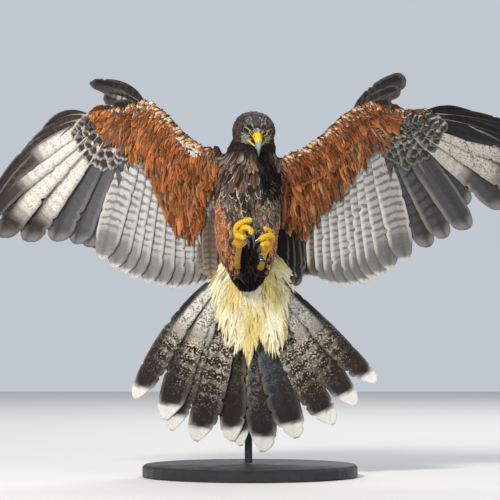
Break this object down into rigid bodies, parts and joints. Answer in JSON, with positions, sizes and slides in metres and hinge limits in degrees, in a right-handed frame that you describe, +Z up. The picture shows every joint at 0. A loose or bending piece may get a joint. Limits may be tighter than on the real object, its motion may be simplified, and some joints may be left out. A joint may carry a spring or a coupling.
{
  "type": "harris hawk display model",
  "caption": "Life-size hawk braking in flight, wings raised, tail fanned, feet drawn up, on a round base with a bent rod.",
  "frame": {"origin": "centre of the underside of the stand's base", "axes": "+Z up, the hawk faces -Y, its left wing points to +X"},
  "size_m": [0.7239, 0.28, 0.5214],
  "materials": {
    "plumage_dark": "dark brown feathers, matte",
    "plumage_rufous": "chestnut feathers, matte",
    "plumage_grey": "grey and white barred flight feathers, matte",
    "plumage_tail": "dark tail feathers, cream at the root, white at the tips",
    "bare_yellow": "yellow scaled bare skin",
    "horn_dark": "polished black horn",
    "horn_grey": "blue-grey horn",
    "eye_brown": "glossy dark brown eye",
    "stand_black": "satin black stand"
  },
  "bodies": {
    "root": {"head": "plumage_dark", "neck": "plumage_dark", "torso": "plumage_dark", "eye_right": "eye_brown", "eye_left": "eye_brown", "cere": "bare_yellow", "bill_upper": "horn_grey", "bill_lower": "horn_grey", "upper_arm_right": "plumage_rufous", "upper_arm_left": "plumage_rufous", "forearm_right": "plumage_grey", "forearm_left": "plumage_grey", "hand_right": "plumage_grey", "hand_left": "plumage_grey", "alula_right": "plumage_dark", "alula_left": "plumage_dark", "thigh_right": "plumage_rufous", "thigh_left": "plumage_rufous", "tarsus_right": "bare_yellow", "tarsus_left": "bare_yellow", "foot_right": "bare_yellow", "foot_left": "bare_yellow", "talon_right_1": "horn_dark", "talon_right_2": "horn_dark", "talon_right_3": "horn_dark", "talon_right_4": "horn_dark", "talon_left_1": "horn_dark", "talon_left_2": "horn_dark", "talon_left_3": "horn_dark", "talon_left_4": "horn_dark", "tail": "plumage_tail", "stand_rod": "stand_black", "stand_base": "stand_black"}
  },
  "joints": []
}
